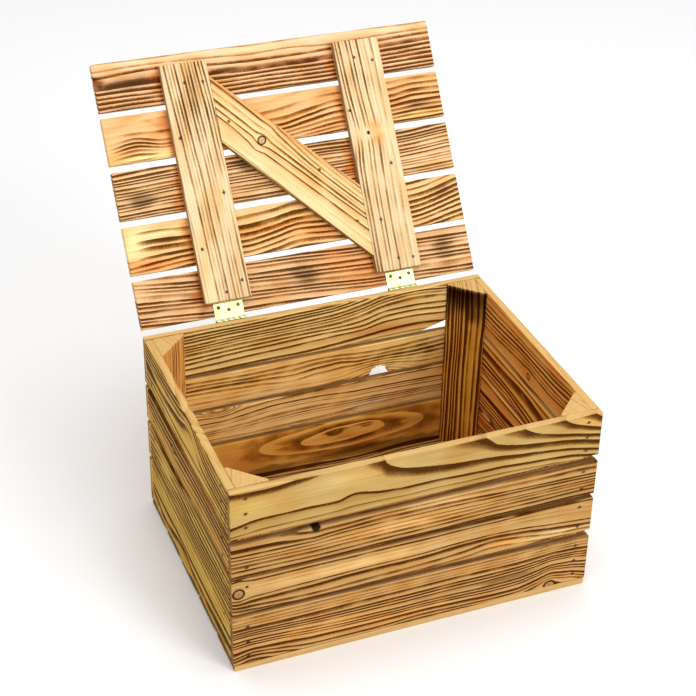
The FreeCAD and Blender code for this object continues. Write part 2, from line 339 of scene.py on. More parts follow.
def wood_material(name):
    """Scorched and brushed softwood, driven by the ring, scorch and tint of each vertex."""
    kit = Nodes(name)
    maths, times, sway = kit.maths, kit.times, kit.sway
    smooth, mix, noise = kit.smooth, kit.mix, kit.noise
    ring, depth, knot = kit.parts(kit.attribute("grain"))
    start, burn, per_mm = kit.parts(kit.attribute("band"))
    local = kit.attribute("local")
    tint = kit.attribute("tint", "Color")
    drawn = kit.node("ShaderNodeCombineXYZ")
    kit.feed(drawn.inputs[0], kit.parts(local)[0])
    kit.feed(drawn.inputs[1], ring)

    fibre = noise(local, (9.0, 620.0, 620.0), 3.0, 0.6)
    saw = noise(local, (700.0, 150.0, 150.0), 2.0)
    cloud = noise(local, (18.0, 120.0, 120.0), 4.0)
    speck = noise(local, (150.0, 420.0, 420.0), 2.0)
    thread = noise(drawn.outputs[0], (5.0, 5.5, 1.0), 3.0, 0.6)

    # Place within the ring, with a fibrous edge, and how charred the wood is
    rag = sway(fibre, 1.5, sway(saw, 0.9))
    place = maths("FRACT", maths("MULTIPLY_ADD", rag, per_mm, ring))
    char = smooth(sway(fibre, 0.4, sway(cloud, 1.0, burn)), 0.15, 1.15)

    # Late wood rises through the ring and stops sharply
    crest = maths("MULTIPLY_ADD", per_mm, -1.1, 0.95)
    crest = maths("MAXIMUM", crest, maths("MULTIPLY_ADD", start, 0.5, 0.38))
    rise = maths("POWER", smooth(place, start, crest), 0.75)
    drop = smooth(place, maths("MULTIPLY_ADD", crest, 0.5, 0.5), 1.0, 1.0, 0.0)
    late = times(rise, drop)
    marks = smooth(saw, 0.3, 0.7, 0.86, 1.10)
    dark = sway(thread, 0.34, times(times(late, depth), marks))
    dark = maths("ADD", dark, times(times(char, late), 0.5), clamp=True)

    # Toasted and brown late wood, smoke and soot where it is charred
    warm = times(maths("POWER", place, 1.4), drop)
    warm = sway(thread, 0.5, times(warm, maths("MULTIPLY_ADD", depth, 0.9, 0.2)))
    warm = maths("MAXIMUM", smooth(dark, 0.02, 0.5), warm, clamp=True)
    shades = ((0.67, 0.50, 0.33, 1.0), (0.125, 0.062, 0.018, 1.0), (0.25, 0.21, 0.17, 1.0),
              (0.065, 0.048, 0.035, 1.0))
    toasted, brown, smoke, soot = (mix(1.0, tint, shade, "MULTIPLY") for shade in shades)
    colour = mix(warm, tint, toasted)
    colour = mix(smooth(dark, 0.15, 1.0, 0.0, 0.97), colour, brown)
    sooty = mix(smooth(dark, 0.05, 0.6), smoke, soot)
    colour = mix(times(char, 0.80), colour, sooty)
    colour = mix(1.0, colour, smooth(fibre, 0.32, 0.68, 0.88, 1.07), "MULTIPLY")
    colour = mix(smooth(speck, 0.68, 0.80, 0.0, 0.30), colour, rgb(110, 66, 28))

    # Knots: dark rim, reddish rings inside
    circles = maths("SINE", times(knot, 26.0))
    pale = mix(1.0, tint, (0.62, 0.60, 0.62, 1.0), "MULTIPLY")
    heart = mix(smooth(circles, -0.4, 1.0, 0.0, 0.5), pale, toasted)
    heart = mix(smooth(knot, 0.80, 0.98), heart, brown)
    heart = mix(times(char, 0.9), heart, soot)
    colour = mix(smooth(knot, -0.02, 0.05), colour, heart)
    rim = times(smooth(knot, -0.22, -0.07), smooth(knot, 0.13, 0.33, 1.0, 0.0))
    colour = mix(times(rim, 0.95), colour, rgb(40, 22, 10))

    height = maths("MULTIPLY_ADD", late, 0.6, times(fibre, 0.5))
    rough = maths("MULTIPLY_ADD", dark, -0.14, maths("MULTIPLY_ADD", fibre, 0.16, 0.58))
    return kit.surface(colour, rough, height, 0.35, 0.0004, Specular_IOR_Level=0.02)


def metal_material(name, colour, roughness, stain, stain_amount, metallic=1.0):
    """Thin plated or bare metal with stains, fine scratches and a little relief."""
    kit = Nodes(name)
    where = kit.node("ShaderNodeTexCoord").outputs["Object"]
    blotch = kit.noise(where, (160.0, 160.0, 160.0), 4.0, 0.5)
    fine = kit.noise(where, (900.0, 900.0, 900.0), 2.0, 0.5)
    stained = kit.smooth(blotch, 0.42, 0.72, 0.0, stain_amount, "LINEAR")
    rough = kit.smooth(fine, 0.0, 1.0, roughness - 0.1, roughness + 0.14, "LINEAR")
    base = kit.mix(stained, rgb(*colour), rgb(*stain))
    return kit.surface(base, rough, fine, 0.12, 0.0001, Metallic=metallic)


WOOD = wood_material("wood_scorched")
PALE = wood_material("wood_pale")
BRASS = metal_material("hinge_brass", (200, 200, 152), 0.40, (154, 172, 86), 0.85)
SCREW = metal_material("screw_brass", (112, 106, 62), 0.5, (60, 52, 28), 0.8)
NAIL = metal_material("nail_steel", (96, 74, 52), 0.5, (48, 30, 18), 0.8, 0.7)

# --------------------------------------------- how each board's face is drawn
# Orange-brown band on the lid slats beside the battens' edges: partly toasted wood, partly painted
# contact shade from the battens.
BATTEN_TOAST_AND_SHADE = (224, 140, 68)
CREAM = (238, 213, 170)
OUTSIDE = (206, 168, 104)
LID_RIM = 1.2

SPEC = {}
SPEC["lid_slat_1"] = dict(
    light=(238, 193, 147), depth=0.82, late=2.9, at=(-238, -155, -80, -20, 40, 90, 160, 238),
    lines={
        0: (357, 356, 357, 355, 356, 357, 356, 356), 1: (346, 348, 346, 343, 345, 342, 345, 347),
        2: (337, 341, 336, 334, 334, 336, 338, 340), 3: (322, 323, 323, 322, 322, 323, 329, 331),
        4: (316, 316, 316, 317, 317, 316.5, 323, 325), 8: (291, 292, 293, 294, 294.5, 295, 299.5, 301),
        10: (279, 280, 281, 282, 283, 284, 289, 291)},
    special={0: (2, 0.3), 1: (3, 0.32), 2: (3.5, 0.6), 3: (8, 0.55), 5: (2.6, 0.8)},
    burns=(
        (-195, 328, 40, 9, 1.0), (-58, 328, 26, 6, 0.8), (66, 327, 26, 6, 0.8), (195, 326, 30, 12, 0.45),
        (-205, 297, 36, 4, 0.5), (65, 295, 40, 3, 0.6), (-236, 334, 5, 8, 1.2)),
    stains=(
        # bands at u -152 and 92 beside the battens' edges: painted contact shade, partly toasted wood
        (-152, 322, 7, 30, BATTEN_TOAST_AND_SHADE), (92, 320, 7, 30, BATTEN_TOAST_AND_SHADE), (-232, 336, 7, 6, (176, 96, 50)),
        (0, 352, 300, 7, (252, 218, 172))))
SPEC["lid_slat_2"] = dict(
    light=(243, 192, 134), depth=0.6, late=3.0, at=(-238, -200, -160, -80, 0, 40, 90, 160, 200, 238),
    lines={
        0: (218, 219, 222, 222, 222, 224, 228, 228, 228, 229),
        1: (226, 228, 228, 226, 226, 229, 233, 233, 234, 234),
        2: (232, 236, 232, 231, 231, 234, 239, 238, 240, 240),
        3: (237, 242, 236, 236, 236, 240, 246, 244, 246, 246),
        4: (241, 247, 240, 240, 241, 247, 254, 250, 253, 253),
        5: (246, 252, 244, 245, 247, 254, 262, 257, 261, 260),
        6: (252, 257, 250, 252, 256, 262, 269, 264, 269, 268),
        7: (262, 264, 262, 262, 268, 275, 279, 273, 277, 276),
        8: (276, 277, 280, 276, 282, 288, 292, 282, 285, 284),
        9: (290, 292, 296, 292, 296, 300, 305, 291, 293, 292)},
    special={5: (3.2, 0.85), 7: (4, 0.5), 8: (5, 0.3)},
    calm=(
        (-238, 240, 20, 60, 0.8), (-190, 272, 50, 14, 0.6), (20, 276, 60, 10, 0.8),
        (-160, 232, 25, 16, 0.6), (195, 246, 30, 16, -0.5)),
    burns=(
        (-178, 274, 16, 5, 0.45), (-163, 262, 8, 9, 0.5), (72, 281, 18, 5, 0.5), (205, 247, 26, 8, 0.6),
        (60, 250, 18, 3, 0.45), (195, 266, 30, 4, 0.35)),
    stains=(
        # bands at u -152 and 92 beside the battens' edges: painted contact shade, partly toasted wood
        (-190, 229, 40, 6, (253, 232, 160)), (200, 231, 40, 4, (252, 226, 150)), (-152, 250, 7, 40, BATTEN_TOAST_AND_SHADE),
        (92, 250, 7, 40, BATTEN_TOAST_AND_SHADE), (10, 250, 40, 12, (244, 190, 118)), (200, 262, 40, 12, (240, 188, 128))))
SPEC["lid_slat_3"] = dict(
    light=(239, 200, 151), depth=0.8, late=2.2, uneven=0.16, wander=0.35,
    at=(-238, -155, -80, 0, 93, 160, 238),
    lines={0: (150, 152, 150, 150, 150, 151, 153), 14: (216, 219, 216, 216, 215, 216, 222)},
    calm=((215, 165, 50, 18, 0.45),),
    burns=(
        (-205, 175, 24, 9, 1.2), (-55, 200, 20, 11, 1.2), (78, 204, 18, 12, 0.3), (195, 205, 34, 8, 0.25),
        (-60, 165, 30, 10, 0.3)),
    # bands at u -152 and 90 beside the battens' edges: painted contact shade, partly toasted wood
    stains=((-152, 180, 8, 50, BATTEN_TOAST_AND_SHADE), (90, 180, 9, 50, BATTEN_TOAST_AND_SHADE)))
SPEC["lid_slat_4"] = dict(
    light=(247, 208, 146), depth=0.66, late=3.2, at=(-238, -200, -155, -80, -40, 0, 40, 93, 160, 238),
    lines={
        0: (68, 72, 76, 72, 76, 82, 80, 74, 76, 88), 1: (76, 79, 83, 79, 84, 90, 88, 82, 82, 95),
        2: (83, 86, 89, 86, 91, 97, 95, 90, 89, 102), 3: (89, 93, 96, 94, 99, 105, 103, 98, 95, 109),
        4: (97, 101, 103, 101, 106, 112, 110, 106, 102, 116),
        5: (110, 113, 113, 110, 114, 120, 119, 115, 109, 123),
        6: (121, 122, 121, 121, 124, 130, 129, 124, 116, 130),
        7: (133, 134, 132, 133, 135, 141, 140, 134, 124, 138),
        8: (145, 146, 144, 146, 148, 153, 152, 146, 132, 146),
        9: (157, 158, 156, 158, 160, 165, 164, 158, 141, 155)},
    special={4: (3.5, 0.8), 5: (6, 0.62), 6: (6, 0.75), 7: (5, 0.5)},
    calm=((-232, 118, 20, 40, 0.95), (-190, 128, 40, 4, 0.6), (200, 110, 40, 30, -0.35)),
    burns=(
        (-178, 117, 26, 5, 0.6), (-172, 102, 28, 4, 0.55), (-180, 137, 20, 4, 0.4),
        (-40, 138, 50, 4, 0.35), (212, 124, 22, 8, 0.6), (195, 96, 20, 4, 0.35), (30, 118, 20, 6, 0.25)),
    stains=(
        (-228, 124, 18, 24, (250, 234, 172)), (-190, 128, 40, 4, (250, 232, 170)),
        (-200, 88, 46, 9, (240, 160, 88)), (-40, 112, 60, 7, (242, 168, 92)),
        # band at u -152 beside the batten's edge: painted contact shade, partly toasted wood
        (40, 96, 60, 9, (240, 164, 92)), (-152, 110, 8, 40, BATTEN_TOAST_AND_SHADE), (200, 112, 40, 30, (246, 204, 146))))
SPEC["lid_slat_5"] = dict(
    light=(238, 198, 150), depth=0.68, late=2.7, uneven=0.2, at=(-238, -155, -80, 0, 93, 160, 238),
    lines={0: (0, -6, -10, -14, -21, -23, -26), 16: (100, 92, 88, 84, 80, 78, 76)},
    calm=((-225, 62, 26, 14, 0.5), (225, 60, 14, 20, 0.4)),
    burns=((-5, 42, 20, 15, 0.9), (198, 44, 20, 20, 0.7), (-200, 30, 40, 4, 0.4), (-120, 20, 40, 8, 0.2)),
    # bands at u -152 and 92 beside the battens' edges: painted contact shade, partly toasted wood
    stains=((-152, 40, 9, 40, (200, 124, 60)), (92, 40, 9, 30, BATTEN_TOAST_AND_SHADE), (60, 40, 50, 30, (240, 178, 116))))
SPEC["lid_batten_left"] = dict(
    light=CREAM, depth=0.29, late=1.9, wander=0.3, at=(25, 100, 180, 260, 343),
    lines={0: (-158, -160, -163, -167, -172), 17: (-78, -80, -83, -87, -92)},
    calm=((165, -95, 50, 13, 0.75), (300, -115, 70, 30, -0.75), (80, -142, 60, 9, 0.4)),
    burns=((305, -112, 42, 14, 0.3),),
    stains=((60, -140, 60, 12, (250, 222, 172)), (335, -118, 24, 30, (236, 204, 156))))
SPEC["lid_batten_right"] = dict(
    light=CREAM, depth=0.3, late=2.0, wander=0.35, at=(25, 100, 170, 205, 225, 270, 343),
    lines={
        0: (92, 93, 95, 98, 98, 95, 92), 9: (139, 140, 142, 143, 143, 141, 138),
        10: (149, 150, 151, 151, 151, 150, 148), 11: (160, 161, 162, 162, 162, 161, 159)},
    knots=((215.5, 119.0, 1.5, 1.6),),
    dead=((215.5, 119.0, 1.9),),
    calm=(
        (180, 152, 260, 7, 0.7), (215, 128, 11, 40, 0.92), (312, 120, 40, 16, -0.5),
        (60, 108, 60, 8, 0.3)),
    burns=((305, 118, 34, 12, 0.28), (190, 132, 16, 8, 0.2)),
    stains=(
        (206, 132, 7, 12, (232, 184, 124)), (224, 130, 6, 14, (238, 192, 130)),
        (216, 150, 12, 12, (246, 214, 160))))
SPEC["lid_brace"] = dict(
    light=(247, 212, 152), depth=0.44, late=1.8, wander=0.25, at=(-40, 30, 60, 74, 90, 150, 260),
    lines={
        0: (-38, -37, -36, -36, -36, -38, -42), 1: (-28, -28, -28, -28, -29, -31, -35),
        2: (-16, -17, -18, -18, -18, -19, -21), 3: (-4, -5, -8, -9, -8, -8, -8),
        4: (3, 2, 1.5, 1.5, 1.5, 2.5, 3), 5: (11, 10.5, 9.5, 9, 9.5, 8.5, 8),
        6: (20, 19.5, 18.5, 18, 17, 13, 12), 7: (29, 28, 27, 26, 24, 18, 16.5),
        8: (36, 35, 34, 33, 31, 23, 21.5), 9: (43, 42, 41, 40, 38, 29, 27)},
    special={1: (1.4, 0.35), 2: (1.2, 0.2), 3: (2.0, 0.7), 4: (1.8, 0.75)},
    knots=((74, 3, 6.2, 0.86),),
    calm=((120, -18, 60, 9, 0.8), (230, -28, 40, 8, 0.4), (88, 12, 16, 10, 0.4)),
    stains=(
        (150, -24, 70, 9, (253, 236, 190)), (0, 30, 60, 5, (224, 160, 96)),
        (130, 31, 130, 4, (232, 176, 112)), (40, -10, 30, 10, (248, 208, 146))))
SPEC["front_slat_1"] = dict(
    light=(192, 160, 98), depth=0.7, late=4.0, wander=0.4,
    at=(-240, -200, -150, -110, -85, -55, -45, -20, 20, 60, 85, 100, 130, 150, 180, 200, 240),
    lines={
        0: (199, 202, 203, 203, 204, 204, 204, 204, 204, 203, 203, 202, 202, 201, 200, 199, 197),
        1: (208, 211, 212, 212, 214, 214, 214, 213, 214, 213, 213, 213, 212, 211, 210, 208, 204),
        2: (220, 227, 228, 226, 233, 228, 227, 225, 225, 224, 223, 223, 221, 220, 218, 216, 208),
        2.3: (258, 257, 262, 270, 268, 249, 241, 235, 231, 229.5, 229, 228.5, 227, 226, 224, 221, 212),
        3: (268, 267, 272, 286, 292, 284, 264, 252, 246, 242, 240, 239, 235, 233, 229, 226, 217),
        4: (330, 330, 330, 336, 340, 336, 332, 326, 312, 290, 268, 256, 249, 246, 242, 239, 230),
        5: (380, 380, 380, 380, 380, 380, 378, 372, 356, 336, 312, 300, 274, 261, 252, 248, 239),
        6: (430, 430, 430, 430, 430, 430, 426, 420, 402, 380, 354, 340, 312, 296, 277, 263, 249),
        7: (480, 480, 480, 480, 480, 480, 474, 468, 448, 424, 396, 380, 350, 332, 310, 292, 264)},
    special={
        0: (2.0, 0.15), 1: (1.8, 0.4), 2: (3.4, 0.85), 3: (0.74, 0.8), 4: (0.82, 0.78), 5: (0.82, 0.78),
        6: (0.8, 0.76), 7: (0.76, 0.7)},
    burns=((60, 204, 90, 3, 0.35),),
    stains=(
        (-215, 245, 34, 14, (206, 170, 94)), (-90, 255, 44, 12, (214, 186, 122)),
        (225, 262, 20, 10, (226, 178, 100))))
SPEC["front_slat_2"] = dict(
    light=(195, 154, 95), depth=0.8, late=2.6, wander=0.4,
    at=(-240, -190, -140, -100, -40, 20, 90, 150, 200, 240),
    lines={
        0: (140, 140, 141, 142, 142, 143, 143, 144, 144, 144),
        1: (148, 148, 148, 148, 149, 149, 150, 150, 151, 150),
        2: (156, 155, 154, 154, 155, 156, 157, 157, 158, 157),
        3: (163, 162, 161, 162, 162, 162, 163, 163, 163, 163),
        4: (168, 167, 166, 167, 168, 168, 168, 168, 168, 168),
        5: (173, 171, 171, 172, 173, 173, 172, 171, 171, 171),
        6: (178, 177, 176, 179, 180, 180, 179, 178, 177, 176),
        7: (188, 187, 182, 184, 187, 187, 184, 182, 181, 180),
        8: (199, 198, 192, 191, 193, 193, 192, 191, 191, 190),
        9: (210, 209, 203, 200, 200, 200, 200, 199, 199, 198)},
    special={
        1: (3.2, 0.8), 2: (2.4, 0.6), 5: (1.6, 0.6), 6: (2.2, 0.65), 7: (5.5, 0.7), 8: (4, 0.55),
        9: (4, 0.6)},
    knots=((-134, 193.5, 3.4, 1.3),),
    dead=((-134, 193.0, 4.6),),
    calm=((-20, 172, 120, 10, 0.35), (60, 190, 90, 6, 0.5), (-215, 176, 50, 12, -0.45)),
    burns=(
        (-212, 184, 36, 5, 0.6), (150, 176, 60, 4, 0.5), (205, 153, 60, 5, 0.45), (214, 190, 30, 4, 0.4),
        (-60, 148, 120, 3, 0.3)),
    stains=((40, 190, 60, 6, (222, 186, 126)), (-30, 168, 90, 8, (226, 178, 110))))
SPEC["front_slat_3"] = dict(
    light=(197, 156, 97), depth=0.78, late=2.2, wander=0.4,
    at=(-240, -200, -150, -100, 0, 60, 100, 140, 180, 240),
    lines={
        0: (92, 86, 84, 84, 84, 86, 88, 84, 82, 80), 1: (98, 93, 91, 91, 92, 95, 99, 96, 92, 90),
        2: (104, 99, 97, 98, 100, 104, 109, 105, 99, 95),
        3: (109, 108, 109, 111, 112, 115, 116, 113, 108, 102),
        4: (114, 113.5, 115, 116, 117, 119, 120, 118, 114, 108),
        5: (127, 127, 127, 127, 127, 129, 130, 129, 126, 121),
        6: (133, 133, 133, 133, 133, 134, 135, 134, 132, 129),
        7: (138.5, 138.5, 138.5, 138.5, 138.5, 138.5, 139, 140, 140, 139),
        8: (148, 148, 148, 148, 148, 148, 148, 149, 150, 149)},
    special={
        1: (3, 0.65), 2: (4, 0.6), 3: (4.6, 0.8), 4: (1.8, 0.65), 5: (2, 0.22), 6: (2, 0.2),
        7: (2.4, 0.7)},
    knots=((-231.6, 120.3, 7.2, 1.0),),
    calm=((40, 94, 200, 5, 0.4), (150, 96, 40, 10, 0.5)),
    burns=((-60, 109, 100, 3, 0.3), (160, 110, 40, 4, 0.35), (-225, 97, 24, 6, 0.4)),
    stains=(
        (190, 97, 50, 6, (228, 200, 144)), (120, 100, 20, 6, (232, 176, 106)),
        (-90, 124, 120, 6, (236, 196, 132))))
SPEC["front_slat_4"] = dict(
    light=(204, 162, 103), depth=0.84, late=2.3, uneven=0.22, wander=0.35,
    at=(-240, -215, -180, -140, -60, 0, 60, 110, 140, 170, 190, 215, 240),
    lines={
        0: (8, 14, 9, 4, 5, 5, 4, 2, 2, 5, 8, 8, 4),
        1: (16, 21, 16, 10, 10, 12, 11, 8, 8, 14, 18, 17, 10),
        2: (23, 28, 24, 19, 17, 18, 17, 15, 16, 22, 25, 24, 17),
        3: (31, 33, 31, 27, 24, 24, 23, 21, 22, 28, 31, 29, 23),
        13: (80, 80, 80, 80, 80, 80, 80, 80, 80, 80, 80, 80, 79)},
    special={0: (3.4, 0.8), 1: (3.0, 0.75), 2: (2.4, 0.7), 7: (2.2, 0.85), 6: (2, 0.8)},
    knots=((188.6, 10.7, 7.5, 1.1),),
    calm=((-120, 40, 60, 9, 0.5), (0, 70, 300, 8, 0.35), (210, 18, 24, 8, 0.5)),
    burns=((128, 41, 46, 6, 0.8), (20, 44, 50, 4, 0.35), (-218, 18, 22, 6, 0.45)),
    stains=(
        (-120, 36, 70, 8, (226, 172, 100)), (205, 18, 26, 8, (216, 164, 98)),
        (-40, 24, 80, 5, (232, 176, 104))))
SPEC["back_slat_1"] = dict(
    light=(255, 222, 146), depth=0.9, late=2.5, uneven=0.12, at=(-188, -100, -40, 20, 60, 100, 140, 188),
    lines={
        0: (198, 199, 200, 203, 205, 207, 207, 204), 1: (206, 208, 208, 210, 213, 217, 218, 215),
        2: (214, 216, 218, 220, 222, 228, 229, 226), 3: (222, 226, 228, 229, 230, 238, 240, 237),
        4: (229, 233, 235, 236, 239, 248, 250, 247), 5: (235, 239, 240, 242, 247, 257, 260, 256),
        12: (270, 271, 273, 276, 283, 292, 295, 291)},
    special={1: (3.4, 0.8), 2: (3, 0.75), 3: (3.2, 0.8), 4: (2.6, 0.75)},
    burns=((120, 250, 60, 8, 0.3), (-130, 216, 50, 5, 0.3)),
    stains=((-80, 230, 20, 6, (240, 190, 90)), (100, 215, 80, 8, (222, 160, 90))))
SPEC["back_slat_2"] = dict(
    light=(255, 210, 130), depth=0.3, late=3.6, scorch=0.0,
    at=(-188, -140, -80, -40, 0, 30, 60, 90, 120, 150, 188),
    lines={
        0: (150, 150, 149, 148, 148, 146, 144, 142, 144, 146, 148),
        1: (157, 157, 156, 155, 154, 152, 150, 148, 150, 152, 154),
        2: (165, 164, 161, 158, 160, 158, 156, 154, 156, 159, 161),
        3: (172, 171, 167, 163, 168, 168, 163, 161, 163, 166, 168),
        4: (178, 178, 175, 173, 177, 178, 171, 168, 170, 173, 176),
        5: (184, 183, 182, 181, 185, 184, 179, 176, 178, 181, 184),
        6: (190, 189, 188, 189, 191, 190, 187, 184, 186, 189, 191),
        7: (197, 196, 195, 197, 198, 197, 195, 193, 194, 196, 198)},
    special={4: (3.6, 0.6), 3: (3.4, 0.42)},
    calm=((-20, 156, 60, 8, 0.5), (92, 163, 38, 12, -0.9), (165, 171, 30, 12, -0.5)),
    burns=((166, 171, 20, 6, 0.7), (-105, 177, 30, 3, 0.6), (0, 146, 200, 2.5, 0.6)),
    hills=((93, 147, 40, 22, -3.6),),
    stains=(
        (90, 165, 30, 12, (246, 196, 108)), (-60, 152, 60, 6, (246, 204, 138)),
        # pale patch at the right end: painted light, brightening the part in shade beside the right wall
        # and back post
        (150, 175, 50, 40, (255, 228, 150))))
SPEC["back_slat_3"] = dict(
    light=(255, 214, 142), depth=0.36, late=2.0, uneven=0.34, scorch=-0.04,
    at=(-188, -140, -110, -60, 0, 60, 120, 188),
    lines={
        0: (90, 90, 90, 90, 91, 91, 91, 90), 6: (117, 116, 119, 125, 126, 122, 122, 119),
        7: (122, 121, 126, 132, 132, 128, 127, 124), 8: (128, 131, 134, 138, 138, 135, 134, 132),
        9: (136, 140, 143, 146, 146, 143, 142, 141)},
    special={7: (3.4, 0.7), 8: (2.4, 0.6)},
    calm=((-60, 98, 140, 9, 0.55), (140, 118, 50, 12, -0.8)),
    burns=((150, 110, 30, 12, 0.3), (0, 88, 200, 2.5, 0.6)),
    hills=((-142, 139, 19, 8.5, 3.0),),
    stains=((90, 98, 30, 8, (236, 208, 160)),))
SPEC["back_slat_4"] = dict(
    light=(255, 200, 96), depth=0.56, late=14, wander=2.0, at=(-188, 188),
    lines={-2: (-200, -200), 0: (26, 22), 1: (300, 300)},
    special={0: (9, 0.9), 1: (26, 0.4), 2: (22, 0.55), 3: (9, 0.65)},
    burns=((100, 20, 110, 7, 1.7), (-72, 20, 30, 8, 1.6), (150, 52, 40, 12, 0.4)),
    hills=((38, 55, 122, 22, 2.45), (26, 62, 15, 4.5, 0.6), (74, 63, 17, 4.5, 0.6)),
    stains=(
        (-20, 48, 26, 6, (244, 172, 80)), (-120, 40, 40, 30, (250, 176, 86)),
        (60, 50, 70, 16, (255, 196, 104))))
SPEC["right_slat_1"] = dict(
    light=(250, 184, 98), depth=0.85, late=2.8, at=(-169, -120, -60, 0, 60, 120, 169),
    lines={
        0: (200, 202, 203, 205, 205, 206, 206), 1: (218, 221, 224, 228, 227, 232, 234),
        2: (224, 227, 230, 234, 232, 236, 240), 3: (231, 234, 236, 240, 239, 242, 246),
        4: (238, 241, 243, 246, 246, 250, 253), 5: (246, 248, 250, 253, 253, 258, 261),
        6: (254, 256, 257, 258, 259, 263, 266), 8: (273, 274, 275, 276, 277, 279, 282)},
    special={0: (4, 0.6), 7: (1.6, 0.4), 6: (2, 0.6)},
    knots=((4.6, 216, 4.6, 1.0),),
    burns=((90, 250, 50, 10, 0.4),))
SPEC["right_slat_2"] = dict(
    light=(255, 188, 96), depth=0.85, late=3.2, at=(-169, -120, -60, 0, 60, 120, 169),
    lines={
        0: (150, 152, 154, 148, 142, 140, 138), 1: (158, 160, 161, 156, 150, 148, 146),
        2: (166, 167, 166, 163, 158, 156, 154), 3: (182, 183, 184, 186, 181, 178, 176),
        4: (191, 192, 193, 194, 192, 190, 190), 5: (200, 201, 202, 203, 202, 200, 200)},
    special={2: (3, 0.9), 3: (14, 0.75), 4: (2.4, 0.8)},
    burns=((-90, 172, 40, 6, 0.4),))
SPEC["right_slat_3"] = dict(
    light=(255, 188, 98), depth=0.85, late=2.6, at=(-169, -60, 0, 60, 169),
    lines={
        0: (86, 88, 88, 88, 86), 3: (103, 105, 106, 106, 104), 4: (112, 117, 120, 121, 120),
        5: (134, 136, 136, 136, 136), 6: (146, 148, 148, 148, 148)},
    special={4: (10, 0.95), 5: (2.6, 0.9)},
    burns=((-70, 110, 50, 6, 0.7),))
SPEC["right_slat_4"] = dict(light=(240, 164, 84), depth=0.9, mid=43)
SPEC["left_slat_1"] = dict(
    light=(216, 180, 94), depth=1.0, late=3.8, at=(-169, -110, -60, -20, 20, 80, 120, 169),
    lines={
        0: (206, 207, 206, 204, 202, 203, 204, 206), 1: (215, 214, 212, 210, 208, 211, 213, 214),
        2: (222, 223, 222, 220, 222, 222, 222, 222), 3: (243, 236, 240, 246, 256, 232, 231, 230),
        4: (250, 250, 252, 256, 262, 240, 238, 237), 5: (256, 257, 260, 264, 272, 248, 245, 244),
        6: (262, 263, 267, 272, 282, 256, 252, 251), 7: (268, 270, 274, 280, 292, 265, 260, 258),
        8: (276, 278, 282, 290, 302, 274, 268, 266)},
    special={2: (3, 0.8), 3: (9, 0.8)},
    calm=((40, 245, 30, 25, 0.8),),
    burns=((-145, 232, 40, 9, 0.8), (165, 225, 5, 40, 0.6)))
SPEC["left_slat_2"] = dict(
    light=(202, 162, 84), depth=0.9, late=3.4, at=(-169, -60, 0, 60, 169),
    lines={
        0: (142, 146, 143, 149, 149), 1: (150, 152, 150, 155, 156), 2: (162, 160, 160, 166, 166),
        3: (170, 168, 171, 176, 174), 4: (178, 179, 182, 184, 184), 5: (187, 188, 190, 192, 192),
        6: (197, 198, 200, 200, 200)},
    knots=((-55, 174, 5.5, 1.0),),
    calm=((-90, 160, 60, 10, 0.6),))
SPEC["left_slat_3"] = dict(
    light=(206, 172, 86), depth=1.05, late=4.0, at=(-169, -100, -40, 0, 60, 169),
    lines={
        0: (84, 82, 88, 86, 86, 88), 1: (92, 90, 96, 93, 93, 96), 2: (99, 98, 104, 100, 100, 102),
        3: (106, 106, 111, 107, 107, 109), 4: (114, 120, 122, 119, 116, 117),
        5: (124, 128, 130, 128, 125, 124), 6: (136, 137, 137, 136, 135, 134),
        7: (146, 146, 146, 146, 145, 144)},
    special={4: (7, 0.85), 6: (4, 0.9)},
    calm=((-90, 115, 50, 20, 0.85),),
    burns=((60, 113, 40, 4, 0.5), (0, 135, 200, 2.5, 0.4)))
SPEC["left_slat_4"] = dict(
    light=(208, 174, 84), depth=1.1, late=5.0, at=(-169, -110, -60, -20, 20, 80, 169),
    lines={
        0: (16, 12, 14, 10, 16, 14, 14), 1: (38, 26, 34, 40, 30, 30, 34), 2: (45, 44, 46, 46, 44, 45, 47),
        3: (54, 54, 54, 56, 52, 54, 56), 4: (64, 64, 63, 64, 62, 64, 66), 5: (76, 75, 74, 76, 76, 75, 75),
        6: (86, 86, 86, 86, 86, 86, 86)},
    special={1: (9, 0.7), 5: (3, 0.7), 3: (2, 0.3), 4: (2, 0.3)},
    burns=((140, 24, 34, 12, 0.7),))
SPEC["corner_post_back_right"] = dict(
    light=(255, 194, 90), depth=1.0, late=2.8, uneven=0.2, wander=0.6, at=(0, 90, 180, 230, 270),
    lines={
        0: (-62, -62, -62, -64, -64), 2: (-50, -49, -50, -52, -52), 3: (-44, -44, -46, -47, -46),
        4: (-34, -32, -34, -36, -34), 5: (-27, -27, -28, -28, -27), 11: (2, 2, 2, 2, 2)},
    special={3: (3, 0.5), 4: (3, 0.4)},
    calm=((265, -25, 50, 60, -0.6),),
    burns=(
        (258, -20, 32, 60, 0.8), (240, -38, 18, 8, 0.8), (160, 0, 120, 10, 0.3), (120, -56, 120, 6, 0.4)),
    stains=((90, -36, 90, 7, (246, 190, 74)), (262, -24, 32, 60, (96, 46, 18))))

POST_LIGHT = {"back_left": (236, 172, 92), "front_left": (226, 176, 106),
              "front_right": (226, 176, 106)}
for name, light in POST_LIGHT.items():
    SPEC[f"corner_post_{name}"] = dict(light=light, uneven=0.3, depth=0.4, mid=-29, pitch=5.0)
for number, middle in enumerate((149, 78, 7, -68, -145), 1):
    SPEC[f"floor_board_{number}"] = dict(light=(208, 160, 96), depth=0.6, mid=middle)
for number in (1, 2, 3, 4, 5):
    SPEC[f"lid_slat_{number}"]["rim"] = LID_RIM
for number in (1, 2, 3, 4):
    for wall in ("back", "right"):
        SPEC[f"{wall}_slat_{number}"]["behind"] = OUTSIDE

